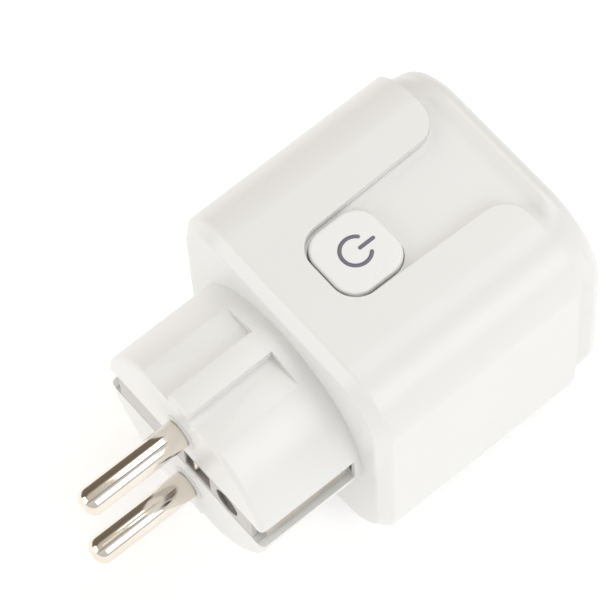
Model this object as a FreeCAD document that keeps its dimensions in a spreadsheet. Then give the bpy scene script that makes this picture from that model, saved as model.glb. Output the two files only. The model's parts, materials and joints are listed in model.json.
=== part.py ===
import FreeCAD, Part
import Sketcher
import math
import os

# A plug in power meter for round-pin wall sockets, in millimetres.
# The origin is the centre of the plug's face. +Y runs along the pins into the wall, so the
# body lies at -Y, and "depth" means the distance from the plug's face towards -Y.
# +Z is up, on the button's side, and the two pins stand one above the other.

driving_sizes = {
    # outer shell and the front housing that slides into it
    "body_wide": 48.0,
    "body_tall": 49.2,
    "body_corner": 10.5,
    "back_depth": 19.4,
    "back_wall": 1.8,
    "back_bevel": 1.9,
    "shell_end": 58.5,
    "shell_wall": 1.4,
    "neck_inset": 1.5,
    "sleeve_wall": 1.4,
    "sleeve_start": 25.6,
    "neck_end": 60.4,
    "rim_start": 62.0,
    "rim_inset": 0.9,
    "rim_corner": 12.6,
    "rim_round": 2.4,
    "face_depth": 64.6,
    "front_wall": 2.6,
    # plug nose
    "nose_radius": 18.7,
    "nose_round": 0.9,
    "nose_hollow": 15.2,
    "nose_wall": 4.0,
    "flat_height": 16.7,
    "flat_half": 8.5,
    "flat_long": 16.4,
    "rib_half": 2.2,
    "slot_half": 2.8,
    "slot_floor": 16.4,
    "slot_long": 18.2,
    "channel_deep": 2.4,
    "channel_half": 17.2,
    "channel_tall": 3.1,
    # plug pins and the earth pin's hole
    "pin_pitch": 19.0,
    "pin_radius": 2.4,
    "pin_long": 19.0,
    "pin_dome": 1.6,
    "pin_neck": 2.1,
    "pin_tail": 1.3,
    "pin_collar": 3.15,
    "collar_proud": 0.3,
    "earth_across": 10.0,
    "earth_hole": 2.5,
    "earth_sleeve_out": 3.2,
    # outlet
    "recess_radius": 19.75,
    "recess_deep": 17.5,
    "recess_floor": 1.8,
    "cup_wall": 1.5,
    "outlet_hole": 2.65,
    # button and the channel that it stands in
    "button_depth": 34.9,
    "button_wide": 12.5,
    "button_long": 12.4,
    "button_corner": 4.0,
    "button_gap": 0.15,
    "button_drop": 0.25,
    "channel_narrow": 6.9,
    "channel_broad": 7.8,
    "panel_corner": 4.5,
    # boards
    "board_depth": 23.6,
    "board_thick": 1.6,
    "board_wide": 39.0,
    "board_tall": 40.0,
    "strip_thick": 0.6,
    "shutter_travel": 6.2,
}

document = FreeCAD.newDocument("plug_in_power_meter")
sheet = document.addObject("Spreadsheet::Sheet", "sizes")
subparts = {}


class Size:
    """A length that knows both its number and the sheet expression that gives it."""

    def __init__(self, number, text):
        self.number = number
        self.text = text

    def join(self, sign, other, number, swap=False):
        other_text = other.text if isinstance(other, Size) else repr(other)
        first, second = (other_text, self.text) if swap else (self.text, other_text)
        return Size(number, f"({first} {sign} {second})")

    def __add__(self, other):
        return self.join("+", other, self.number + number_of(other))

    def __radd__(self, other):
        return self.join("+", other, number_of(other) + self.number, swap=True)

    def __sub__(self, other):
        return self.join("-", other, self.number - number_of(other))

    def __rsub__(self, other):
        return self.join("-", other, number_of(other) - self.number, swap=True)

    def __mul__(self, other):
        return self.join("*", other, self.number * number_of(other))

    def __rmul__(self, other):
        return self.join("*", other, number_of(other) * self.number, swap=True)

    def __truediv__(self, other):
        return self.join("/", other, self.number / number_of(other))

    def __neg__(self):
        return Size(-self.number, f"(0 - {self.text})")


class Sizes:
    """The driving sizes as attributes."""


def number_of(length):
    return length.number if isinstance(length, Size) else float(length)


def fill_sheet():
    sizes = Sizes()
    for row, (name, length) in enumerate(driving_sizes.items(), start=1):
        sheet.set(f"A{row}", name.replace("_", " "))
        sheet.set(f"B{row}", str(length))
        sheet.setAlias(f"B{row}", name)
        setattr(sizes, name, Size(length, f"sizes.{name}"))
    document.recompute()
    return sizes


def bind(item, field, length):
    """Bind a property to the sheet, or set it when the length is a plain number."""
    if isinstance(length, Size):
        item.setExpression(field, length.text)
    elif "." not in field:
        setattr(item, field, length)
    else:
        item.setExpression(field, repr(float(length)))


def keep(node, item):
    item.Label = node
    subparts[node] = item
    return item


# ---------------------------------------------------------------- PartDesign helpers


def new_body(node):
    body = document.addObject("PartDesign::Body", node + "_body")
    return keep(node, body)


def sketch_on(body, plane_role, across=0, up=0, out=0):
    """A sketch on one of the body's origin planes. On XZ_Plane, out is the depth."""
    sketch = body.newObject("Sketcher::SketchObject", body.Name + "_sketch")
    plane = [feature for feature in body.Origin.OriginFeatures if feature.Role == plane_role][0]
    sketch.AttachmentSupport = [(plane, "")]
    sketch.MapMode = "FlatFace"
    for axis, length in zip("xyz", (across, up, out)):
        bind(sketch, f"AttachmentOffset.Base.{axis}", length)
    return sketch


def constrain(sketch, kind, *where):
    """Add a dimension whose last item is a length, and bind it to the sheet."""
    length = where[-1]
    index = sketch.addConstraint(Sketcher.Constraint(kind, *where[:-1], number_of(length)))
    if isinstance(length, Size):
        sketch.setExpression(f"Constraints[{index}]", length.text)


def draw_circle(sketch, radius):
    circle = Part.Circle(FreeCAD.Vector(0, 0, 0), FreeCAD.Vector(0, 0, 1), number_of(radius))
    sketch.addGeometry(circle, False)
    sketch.addConstraint(Sketcher.Constraint("Coincident", 0, 3, -1, 1))
    constrain(sketch, "Radius", 0, radius)


def draw_polygon(sketch, corners):
    """A closed outline whose corners are each dimensioned from the sketch's origin."""
    points = [FreeCAD.Vector(number_of(across), number_of(up), 0) for across, up in corners]
    count = len(points)
    for index, point in enumerate(points):
        sketch.addGeometry(Part.LineSegment(point, points[(index + 1) % count]), False)
    for index in range(count):
        sketch.addConstraint(Sketcher.Constraint("Coincident", index, 2, (index + 1) % count, 1))
    for index, (across, up) in enumerate(corners):
        constrain(sketch, "DistanceX", index, 1, across)
        constrain(sketch, "DistanceY", index, 1, up)


def draw_rectangle(sketch, across, up):
    draw_polygon(
        sketch,
        [(across[0], up[0]), (across[1], up[0]), (across[1], up[1]), (across[0], up[1])],
    )


def draw_rounded_rectangle(sketch, wide, tall, corner):
    """A rounded rectangle centred on the sketch's origin."""
    half_wide = number_of(wide) / 2
    half_tall = number_of(tall) / 2
    radius = number_of(corner)
    near = half_wide - radius
    high = half_tall - radius

    def line(start, end):
        return Part.LineSegment(FreeCAD.Vector(*start, 0), FreeCAD.Vector(*end, 0))

    def arc(centre, start_angle):
        circle = Part.Circle(FreeCAD.Vector(*centre, 0), FreeCAD.Vector(0, 0, 1), radius)
        return Part.ArcOfCircle(circle, math.radians(start_angle), math.radians(start_angle + 90))

    outline = [
        line((-near, -half_tall), (near, -half_tall)),
        arc((near, -high), -90),
        line((half_wide, -high), (half_wide, high)),
        arc((near, high), 0),
        line((near, half_tall), (-near, half_tall)),
        arc((-near, high), 90),
        line((-half_wide, high), (-half_wide, -high)),
        arc((-near, -high), 180),
    ]
    sketch.addGeometry(outline, False)
    for index in range(8):
        sketch.addConstraint(Sketcher.Constraint("Tangent", index, 2, (index + 1) % 8, 1))
    for index in (0, 4):
        sketch.addConstraint(Sketcher.Constraint("Horizontal", index))
    for index in (2, 6):
        sketch.addConstraint(Sketcher.Constraint("Vertical", index))
    for index in (3, 5, 7):
        sketch.addConstraint(Sketcher.Constraint("Equal", 1, index))
    sketch.addConstraint(Sketcher.Constraint("Symmetric", 1, 3, 5, 3, -1, 1))
    constrain(sketch, "Radius", 1, corner)
    constrain(sketch, "DistanceX", 6, 1, 2, 1, wide)
    constrain(sketch, "DistanceY", 0, 1, 4, 1, tall)


def pad(body, sketch, length, both_ways=False):
    """Add material along the sketch's normal, which on XZ_Plane means away from the wall."""
    feature = body.newObject("PartDesign::Pad", body.Name + "_pad")
    feature.Profile = sketch
    if both_ways:
        feature.SideType = "Symmetric"
    bind(feature, "Length", length)
    document.recompute()
    return feature


def pocket(body, sketch, length, forwards=False, both_ways=False):
    """Cut against the sketch's normal, or along it when forwards is true."""
    before = body.Shape.Volume
    feature = body.newObject("PartDesign::Pocket", body.Name + "_pocket")
    feature.Profile = sketch
    feature.Reversed = forwards
    if both_ways:
        feature.SideType = "Symmetric"
    bind(feature, "Length", length)
    document.recompute()
    if body.Shape.Volume > before - 1e-6:
        raise RuntimeError(f"{feature.Name} in {body.Label} cuts nothing")
    return feature


def edges_where(shape, test):
    """Names of the edges whose every vertex passes the test."""
    return [
        f"Edge{index}"
        for index, edge in enumerate(shape.Edges, start=1)
        if edge.Vertexes and all(test(vertex.Point) for vertex in edge.Vertexes)
    ]


def soften(body, kind, edges, size):
    """Fillet or chamfer some edges of the body's last feature."""
    base = body.Tip
    feature = body.newObject("PartDesign::" + kind, f"{body.Name}_{kind.lower()}")
    feature.Base = (base, edges)
    bind(feature, "Radius" if kind == "Fillet" else "Size", size)
    document.recompute()
    return feature


# ---------------------------------------------------------------- Part helpers


def box(name, across, depth, up):
    """A block from low and high values across X, in depth and up Z."""
    block = document.addObject("Part::Box", name)
    bind(block, "Length", across[1] - across[0])
    bind(block, "Width", depth[1] - depth[0])
    bind(block, "Height", up[1] - up[0])
    bind(block, "Placement.Base.x", across[0])
    bind(block, "Placement.Base.y", -depth[1])
    bind(block, "Placement.Base.z", up[0])
    return block


turned_to = {
    "X": FreeCAD.Rotation(FreeCAD.Vector(0, 1, 0), 90),
    "depth": FreeCAD.Rotation(FreeCAD.Vector(1, 0, 0), 90),
    "Z": FreeCAD.Rotation(),
}


def rod(name, direction, start, length, radius):
    """A cylinder from a start point (across, depth, up) along X, in depth or along Z."""
    cylinder = document.addObject("Part::Cylinder", name)
    cylinder.Placement = FreeCAD.Placement(FreeCAD.Vector(), turned_to[direction])
    bind(cylinder, "Radius", radius)
    bind(cylinder, "Height", length)
    bind(cylinder, "Placement.Base.x", start[0])
    bind(cylinder, "Placement.Base.y", -start[1])
    bind(cylinder, "Placement.Base.z", start[2])
    return cylinder


def fuse(name, pieces):
    joined = document.addObject("Part::MultiFuse", name)
    joined.Shapes = pieces
    return joined


def cut(name, base, tools):
    result = document.addObject("Part::Cut", name)
    result.Base = base
    result.Tool = tools[0] if len(tools) == 1 else fuse(name + "_tools", tools)
    return result


def group(name, pieces):
    together = document.addObject("Part::Compound", name)
    together.Links = pieces
    return together


def runs_in_depth(edge):
    ends = [vertex.Point for vertex in edge.Vertexes]
    return len(ends) == 2 and abs(ends[0].x - ends[1].x) + abs(ends[0].z - ends[1].z) < 1e-4


def round_edges(name, base, radius, test):
    """Fillet the edges of a solid that pass the test."""
    document.recompute()
    rounded = document.addObject("Part::Fillet", name)
    rounded.Base = base
    rounded.Edges = [
        (index, radius, radius)
        for index, edge in enumerate(base.Shape.Edges, start=1)
        if test(edge)
    ]
    return rounded


def bent_strip(points, thick, up):
    """Sheet metal that follows points (across, depth), with its width between two heights."""
    path = [FreeCAD.Vector(number_of(across), -number_of(depth), 0) for across, depth in points]
    half = number_of(thick) / 2
    sides = []
    for index, point in enumerate(path):
        before = (point - path[index - 1]).normalize() if index else None
        after = (path[index + 1] - point).normalize() if index + 1 < len(path) else None
        before = before or after
        after = after or before
        normal_before = FreeCAD.Vector(-before.y, before.x, 0)
        normal_after = FreeCAD.Vector(-after.y, after.x, 0)
        mitre = (normal_before + normal_after).normalize()
        mitre = mitre * (half / mitre.dot(normal_before))
        sides.append((point + mitre, point - mitre))
    outline = [left for left, right in sides] + [right for left, right in reversed(sides)]
    lift = FreeCAD.Vector(0, 0, number_of(up[0]))
    wire = Part.makePolygon([corner + lift for corner in outline + outline[:1]])
    height = number_of(up[1]) - number_of(up[0])
    return Part.Face(wire).extrude(FreeCAD.Vector(0, 0, height))


def made_shape(node, shape, place=(0, 0, 0)):
    """A sub-part whose shape is made in code from the sheet's sizes, and where it stands."""
    feature = document.addObject("Part::Feature", node + "_shape")
    feature.Shape = shape
    feature.Placement = FreeCAD.Placement(FreeCAD.Vector(*place), FreeCAD.Rotation())
    return keep(node, feature)


# ---------------------------------------------------------------- casing


def build_rear_housing(s):
    """The shell and the plug's nose in one moulding, with a U-shaped cut for the button."""
    body = new_body("rear_housing")
    inner_depth = s.back_depth + s.back_wall

    outline = sketch_on(body, "XZ_Plane", out=s.back_depth)
    draw_rounded_rectangle(outline, s.body_wide, s.body_tall, s.body_corner)
    pad(body, outline, s.shell_end - s.back_depth)
    back = -number_of(s.back_depth)
    back_edges = edges_where(body.Shape, lambda point: abs(point.y - back) < 1e-4)
    soften(body, "Chamfer", back_edges, s.back_bevel)

    hollow = sketch_on(body, "XZ_Plane", out=s.shell_end)
    draw_rounded_rectangle(
        hollow,
        s.body_wide - 2 * s.shell_wall,
        s.body_tall - 2 * s.shell_wall,
        s.body_corner - s.shell_wall,
    )
    pocket(body, hollow, s.shell_end - inner_depth)

    nose = sketch_on(body, "XZ_Plane")
    draw_circle(nose, s.nose_radius)
    pad(body, nose, s.back_depth + s.back_wall / 2)
    face_edges = edges_where(body.Shape, lambda point: abs(point.y) < 1e-4)
    soften(body, "Fillet", face_edges, s.nose_round)

    nose_hollow = sketch_on(body, "XZ_Plane", out=inner_depth + 0.1)
    draw_circle(nose_hollow, s.nose_hollow)
    pocket(body, nose_hollow, inner_depth + 0.1 - s.nose_wall)

    for side in (-1, 1):
        for edge in (-1, 1):
            flat = sketch_on(body, "XZ_Plane")
            near = side * s.rib_half
            far = side * s.flat_half
            draw_rectangle(flat, (near, far), (edge * s.flat_height, edge * (s.nose_radius + 1)))
            pocket(body, flat, s.flat_long, forwards=True)
        slot = sketch_on(body, "XZ_Plane")
        slot_across = (side * s.slot_floor, side * (s.nose_radius + 1))
        draw_rectangle(slot, slot_across, (-s.slot_half, s.slot_half))
        pocket(body, slot, s.slot_long, forwards=True)
        tail_way = sketch_on(body, "XZ_Plane", out=s.slot_long - 0.1)
        tail_across = (side * (s.slot_floor + 0.2), side * (s.slot_floor + 1.4))
        draw_rectangle(tail_way, tail_across, (-2.1, 2.1))
        pocket(body, tail_way, inner_depth - s.slot_long + 0.2, forwards=True)
        pin_place = side * s.pin_pitch / 2
        collar = sketch_on(body, "XZ_Plane", up=pin_place, out=-s.collar_proud)
        draw_circle(collar, s.pin_collar)
        pad(body, collar, s.collar_proud + 0.2)
        pin_hole = sketch_on(body, "XZ_Plane", up=pin_place, out=-s.collar_proud)
        draw_circle(pin_hole, s.pin_neck + 0.04)
        pocket(body, pin_hole, s.nose_wall + 1, forwards=True)

    front = number_of(s.collar_proud)
    collar_edges = edges_where(body.Shape, lambda point: abs(point.y - front) < 1e-4)
    soften(body, "Chamfer", collar_edges, 0.08)

    channel = sketch_on(body, "XZ_Plane")
    draw_rectangle(channel, (-s.channel_half, s.channel_half), (-s.channel_tall, s.channel_tall))
    pocket(body, channel, s.channel_deep, forwards=True)
    earth_way = sketch_on(body, "XZ_Plane", across=-s.earth_across)
    draw_circle(earth_way, s.earth_sleeve_out + 0.05)
    pocket(body, earth_way, s.nose_wall + 1, forwards=True)

    panel_cut = sketch_on(body, "XY_Plane", out=s.body_tall / 2 + 1)
    button_start = s.button_depth - s.button_long / 2 - 0.3
    draw_polygon(
        panel_cut,
        [
            (-s.channel_narrow, -button_start),
            (s.channel_narrow, -button_start),
            (s.channel_broad, -(s.shell_end + 0.5)),
            (-s.channel_broad, -(s.shell_end + 0.5)),
        ],
    )
    pocket(body, panel_cut, s.shell_wall + 1.02)

    for depth, radius in ((button_start, s.button_corner + 0.3), (s.shell_end, s.panel_corner)):
        soften(body, "Fillet", upright_edges(body.Shape, depth, s.channel_broad), radius)

    for across, up in screw_places["board"]:
        boss = sketch_on(body, "XZ_Plane", across=across, up=up, out=inner_depth - 0.2)
        draw_circle(boss, 2.4)
        pad(body, boss, s.board_depth - inner_depth + 0.2)
        pilot = sketch_on(body, "XZ_Plane", across=across, up=up, out=s.board_depth)
        draw_circle(pilot, 0.95)
        pocket(body, pilot, 3.2)


def upright_edges(shape, depth, half_across):
    """Edges of the top wall that run along Z at one depth, near the middle."""

    def is_there(point):
        near = abs(point.x) < number_of(half_across) + 0.1
        return near and abs(point.y + number_of(depth)) < 0.01 and point.z > 0

    def stands(name):
        ends = [vertex.Point for vertex in shape.getElement(name).Vertexes]
        return abs(ends[0].z - ends[-1].z) > 0.5 and abs(ends[0].x - ends[-1].x) < 0.01

    return [name for name in edges_where(shape, is_there) if stands(name)]


def build_front_housing(s):
    """The outlet's cup, the rim around it and the sleeve that slides into the shell."""
    body = new_body("front_housing")
    recess_end = s.face_depth - s.recess_deep
    cup_back = recess_end - s.recess_floor

    def section(depth, inset, corner):
        sketch = sketch_on(body, "XZ_Plane", out=depth)
        wide = s.body_wide - 2 * inset
        tall = s.body_tall - 2 * inset
        draw_rounded_rectangle(sketch, wide, tall, corner)
        return sketch

    def neck_section(depth):
        return section(depth, s.neck_inset, s.body_corner - s.neck_inset)

    def rim_section():
        return section(s.rim_start, s.rim_inset, s.rim_corner)

    pad(body, neck_section(s.sleeve_start), s.neck_end - s.sleeve_start)
    flare = body.newObject("PartDesign::AdditiveLoft", "front_housing_flare")
    flare.Profile = neck_section(s.neck_end)
    flare.Sections = [rim_section()]
    flare.Ruled = True
    document.recompute()
    pad(body, rim_section(), s.face_depth - s.rim_start)
    face = -number_of(s.face_depth)
    face_edges = edges_where(body.Shape, lambda point: abs(point.y - face) < 1e-4)
    soften(body, "Fillet", face_edges, s.rim_round)

    inner_inset = s.neck_inset + s.sleeve_wall
    hollow = section(s.sleeve_start, inner_inset, s.body_corner - inner_inset)
    pocket(body, hollow, s.face_depth - s.front_wall - s.sleeve_start, forwards=True)
    cup = sketch_on(body, "XZ_Plane", out=cup_back)
    draw_circle(cup, s.recess_radius + s.cup_wall)
    pad(body, cup, s.face_depth - 1 - cup_back)
    recess = sketch_on(body, "XZ_Plane", out=s.face_depth)
    draw_circle(recess, s.recess_radius)
    pocket(body, recess, s.recess_deep)

    for side in (-1, 1):
        for edge in (-1, 1):
            guide = sketch_on(body, "XZ_Plane", out=recess_end - 0.2)
            guide_up = (edge * (s.flat_height + 0.4), edge * (s.recess_radius + 0.4))
            draw_rectangle(guide, (side * 2.7, side * 7.4), guide_up)
            pad(body, guide, s.recess_deep - 2)
        clip_way = sketch_on(body, "XZ_Plane", out=cup_back - 0.5)
        clip_across = (side * (s.recess_radius - 1.2), side * (s.recess_radius + 1.35))
        draw_rectangle(clip_way, clip_across, (-3.2, 3.2))
        pocket(body, clip_way, 16.5, forwards=True)
        hole = sketch_on(body, "XZ_Plane", up=side * s.pin_pitch / 2, out=cup_back - 1)
        draw_circle(hole, s.outlet_hole)
        pocket(body, hole, s.recess_floor + 2, forwards=True)

    for across, up in screw_places["contact"]:
        boss = sketch_on(body, "XZ_Plane", across=across, up=up, out=boss_depth(s))
        draw_circle(boss, 2.2)
        pad(body, boss, cup_back - boss_depth(s) + 0.2)
        pilot = sketch_on(body, "XZ_Plane", across=across, up=up, out=boss_depth(s))
        draw_circle(pilot, 0.95)
        pocket(body, pilot, 3.6, forwards=True)

    opening = sketch_on(body, "XY_Plane", up=-s.button_depth, out=s.body_tall / 2)
    draw_rounded_rectangle(
        opening,
        s.button_wide + 2 * s.button_gap,
        s.button_long + 2 * s.button_gap,
        s.button_corner + s.button_gap,
    )
    pocket(body, opening, s.neck_inset + s.sleeve_wall + 0.5)


def build_face_insert(s):
    """The plate in the plug face's channel, with the earth pin's hole and a window."""
    body = new_body("face_insert")
    plate = sketch_on(body, "XZ_Plane", out=0.05)
    draw_rectangle(plate, (-15.9, 15.9), (0.05 - s.channel_tall, s.channel_tall - 0.05))
    pad(body, plate, 0.9)
    hole = sketch_on(body, "XZ_Plane", across=-s.earth_across)
    draw_circle(hole, s.earth_hole)
    pocket(body, hole, 2.5, forwards=True)
    window = sketch_on(body, "XZ_Plane")
    draw_rectangle(window, (-6.0, 0.1), (-2.3, 2.3))
    pocket(body, window, 2.5, forwards=True)


# ---------------------------------------------------------------- plug contacts


def build_plug_pin(s, node, side):
    """A solid pin with a domed tip, a thinner neck in the nose and a tail to the board."""
    body = new_body(node)
    profile = sketch_on(body, "YZ_Plane", up=side * s.pin_pitch / 2)
    shoulder = s.nose_wall + 3
    neck_end = s.collar_proud + 0.2
    draw_polygon(
        profile,
        [
            (-(s.board_depth + s.board_thick + 0.8), 0),
            (s.pin_long, 0),
            (s.pin_long, s.pin_radius),
            (neck_end, s.pin_radius),
            (neck_end, s.pin_neck),
            (-shoulder, s.pin_neck),
            (-shoulder, s.pin_tail),
            (-(s.board_depth + s.board_thick + 0.8), s.pin_tail),
        ],
    )
    turned = body.newObject("PartDesign::Revolution", body.Name + "_revolution")
    turned.Profile = profile
    turned.ReferenceAxis = (profile, ["H_Axis"])
    turned.Angle = 360
    document.recompute()
    tip = number_of(s.pin_long)
    soften(body, "Fillet", edges_where(body.Shape, lambda point: abs(point.y - tip) < 1e-4), s.pin_dome)


def build_pin_carrier(s):
    """The insulating bar behind the nose's face that holds both pins."""
    half = s.pin_pitch / 2
    depth = (s.nose_wall + 0.05, s.nose_wall + 2.9)
    block = box("carrier_bar", (-4.4, 4.4), depth, (-(half + 3.6), half + 3.6))
    holes = [
        rod(f"carrier_hole_{side}", "depth", (0, s.nose_wall - 1, side * half), 6, s.pin_neck + 0.04)
        for side in (-1, 1)
    ]
    keep("pin_carrier", cut("pin_carrier_cut", block, holes))


def build_plug_earth_bracket(s):
    """The strap across the plug's face, raised in the plate's window, and along both flanks."""
    leg = s.slot_floor + 0.8
    middle = s.channel_deep - 0.45
    inner_depth = s.back_depth + s.back_wall
    points = [
        (-leg, inner_depth),
        (-leg, middle),
        (-3.3, middle),
        (-2.6, 0.6),
        (-0.9, 0.6),
        (-0.2, middle),
        (leg, middle),
        (leg, inner_depth),
    ]
    strap = bent_strip(points, s.strip_thick, (-1.9, 1.9))
    hole = Part.makeCylinder(
        number_of(s.earth_hole) + 0.1,
        4,
        FreeCAD.Vector(-number_of(s.earth_across), 0, 0),
        FreeCAD.Vector(0, -1, 0),
    )
    thick = number_of(s.strip_thick)
    eye = Part.makeCylinder(
        number_of(s.earth_sleeve_out),
        thick,
        FreeCAD.Vector(-number_of(s.earth_across), thick / 2 - number_of(middle), 0),
        FreeCAD.Vector(0, -1, 0),
    )
    made_shape("plug_earth_bracket", strap.fuse(eye).cut(hole).removeSplitter())


def build_earth_sleeve(s):
    """The split sleeve that grips the socket's earth pin."""
    start = s.channel_deep + 0.05
    across = -s.earth_across
    tube = rod("sleeve_outside", "depth", (across, start, 0), 13.2, s.earth_sleeve_out)
    bore = rod("sleeve_bore", "depth", (across, start - 1, 0), 15.2, s.earth_hole)
    slit = box("sleeve_slit", (across - 0.35, across + 0.35), (start + 4, start + 14), (-4, 4))
    keep("earth_sleeve", cut("earth_sleeve_cut", tube, [bore, slit]))


# ---------------------------------------------------------------- outlet contacts


def build_outlet_earth_strap(s):
    """The strap whose two sprung ends reach into the outlet's recess."""
    leg = s.recess_radius + 0.65
    foot_depth = s.back_depth + s.back_wall + 0.45
    cup_back = s.face_depth - s.recess_deep - s.recess_floor
    tip_depth = cup_back + 15
    points = [
        (s.slot_floor + 0.4, foot_depth),
        (leg, foot_depth),
        (leg, tip_depth),
        (leg - 1.4, tip_depth),
        (s.recess_radius - 2.4, tip_depth - 4.4),
        (s.recess_radius - 2.4, tip_depth - 6.4),
        (leg - 1.0, tip_depth - 11),
    ]
    clip = bent_strip(points, s.strip_thick, (-2.4, 2.4))
    other = clip.mirror(FreeCAD.Vector(0, 0, 0), FreeCAD.Vector(1, 0, 0))
    made_shape("outlet_earth_clips", Part.makeCompound([clip, other]))


def build_tulip(s, node, side):
    """A slotted brass socket for one pin of the inserted plug, with a tail to the board."""
    up = side * s.pin_pitch / 2
    front = contact_front(s)
    start = 29.6
    tube = rod(node + "_outside", "depth", (0, start, up), front - 0.4 - start, 3.05)
    tail_up = (up + 2.35, up + 3.0)
    tail = box(node + "_tail", (-1.5, 1.5), (s.board_depth - 0.6, start + 1), tail_up)
    bore = rod(node + "_bore", "depth", (0, start - 1, up), 14, 2.35)
    slits = [
        box(node + "_slit_across", (-4, 4), (start + 3, front + 1), (up - 0.25, up + 0.25)),
        box(node + "_slit_up", (-0.25, 0.25), (start + 3, front + 1), (up - 4, up + 4)),
    ]
    keep(node, cut(node + "_cut", fuse(node + "_fused", [tube, tail]), [bore] + slits))


def contact_front(s):
    return s.face_depth - s.recess_deep - s.recess_floor - 3.8


def boss_depth(s):
    return contact_front(s) + 1.25


def build_contact_block(s):
    """The block that holds both tulips between the board and the shutter."""
    half = s.pin_pitch / 2
    front = contact_front(s)
    start = s.board_depth + s.board_thick + 2.0
    block = box("contact_bar", (-6.0, 6.0), (start, front - 0.05), (-(half + 5.1), half + 5.1))
    tools = []
    for side in (-1, 1):
        up = side * half
        tools.append(rod(f"tulip_cavity_{side}", "depth", (0, start - 1, up), 20, 3.35))
        tools.append(
            box(f"tail_way_{side}", (-1.8, 1.8), (start - 1, start + 6), (up + 2.0, up + 3.6))
        )
    keep("contact_block", cut("contact_block_cut", block, tools))


def build_shutter_frame(s):
    """The tray that guides the shutter behind the outlet's pin holes."""
    front = contact_front(s)
    back = (front, front + 3.6)
    outside = box("frame_outside", (-6.2, 7.4), back, (-15.2, 19.8))
    ears = [
        box(
            f"frame_ear_{index}",
            (min(across, 0) - 2.3, max(across, 0) + 2.3),
            (front, front + 1.1),
            (up - 2.3, up + 2.3),
        )
        for index, (across, up) in enumerate(screw_places["contact"])
    ]
    half = s.pin_pitch / 2
    cavity = (front + 0.8, front + 5)
    tools = [
        box("slider_cavity", (-4.55, 3.75), cavity, (-13.2, 19.4)),
        box("spring_cavity", (3.5, 6.35), cavity, (-11.2, spring_top)),
        *(rod(f"frame_hole_{side}", "depth", (0, front - 1, side * half), 4, 3.0) for side in (-1, 1)),
        *(
            rod(f"ear_hole_{index}", "depth", (across, front - 1, up), 4, 1.15)
            for index, (across, up) in enumerate(screw_places["contact"])
        ),
    ]
    keep("shutter_frame", cut("shutter_frame_cut", fuse("frame_fused", [outside] + ears), tools))


def build_shutter_slider(s):
    """The slider that covers both pin holes. Its two ramps turn a push into an upward slide."""
    body = new_body("shutter_slider")
    base = contact_front(s) + 0.95
    plate = sketch_on(body, "XZ_Plane", out=base)
    draw_rectangle(plate, (-4.4, 3.6), (-12.9, 13.0))
    pad(body, plate, 0.8)
    window = sketch_on(body, "XZ_Plane", out=base - 0.2)
    hole_up = s.pin_pitch / 2 - s.shutter_travel
    draw_rectangle(window, (-2.95, 2.95), (hole_up - 2.95, hole_up + 2.95))
    pocket(body, window, 1.4, forwards=True)
    for start in (hole_up + 2.95, -12.9):
        ramp = sketch_on(body, "YZ_Plane")
        plate_face = -(base + 0.7)
        ramp_top = -(base + 2.35)
        end = start + 6.6
        draw_polygon(ramp, [(plate_face, start), (plate_face, end), (ramp_top, end), (ramp_top, end - 0.5)])
        pad(body, ramp, 5.8, both_ways=True)
    tab = sketch_on(body, "XZ_Plane", out=base)
    draw_rectangle(tab, (3.5, 6.1), (-10.9, spring_bottom))
    pad(body, tab, 2.3)


def build_shutter_spring(s):
    """The compression spring that pushes the shutter back down."""
    wire_radius = 0.16
    coil_radius = 0.95
    length = spring_top - spring_bottom - 2 * wire_radius
    helix = Part.makeHelix(length / 9, length, coil_radius)
    start = FreeCAD.Vector(coil_radius, 0, 0)
    section = Part.Wire(Part.Circle(start, FreeCAD.Vector(0, 1, 0), wire_radius).toShape())
    coil = Part.Wire(helix).makePipeShell([section], True, True)
    depth = number_of(contact_front(s)) + 2.1
    made_shape("shutter_spring", coil, (4.92, -depth, spring_bottom + wire_radius))


def build_screws(s, node, places, head_depth, length):
    """Pan-head screws that point into the front housing or into the rear one."""
    pieces = []
    towards_front = length > 0
    reach = abs(length)
    for index, (across, up) in enumerate(places):
        start = head_depth if towards_front else head_depth - reach
        shank = rod(f"{node}_shank_{index}", "depth", (across, start, up), reach, 0.85)
        head_start = head_depth - 1.2 if towards_front else head_depth
        head = rod(f"{node}_head_{index}", "depth", (across, head_start, up), 1.2, 1.8)
        slot_start = head_depth - 1.3 if towards_front else head_depth + 0.7
        slot_depth = (slot_start, slot_start + 0.6)
        bars = [
            box(f"{node}_bar_{index}", (across - 1.1, across + 1.1), slot_depth, (up - 0.2, up + 0.2)),
            box(f"{node}_cross_{index}", (across - 0.2, across + 0.2), slot_depth, (up - 1.1, up + 1.1)),
        ]
        solid = fuse(f"{node}_solid_{index}", [shank, head])
        pieces.append(cut(f"{node}_cut_{index}", solid, bars))
    keep(node, group(node + "_group", pieces))


# ---------------------------------------------------------------- button


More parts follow.
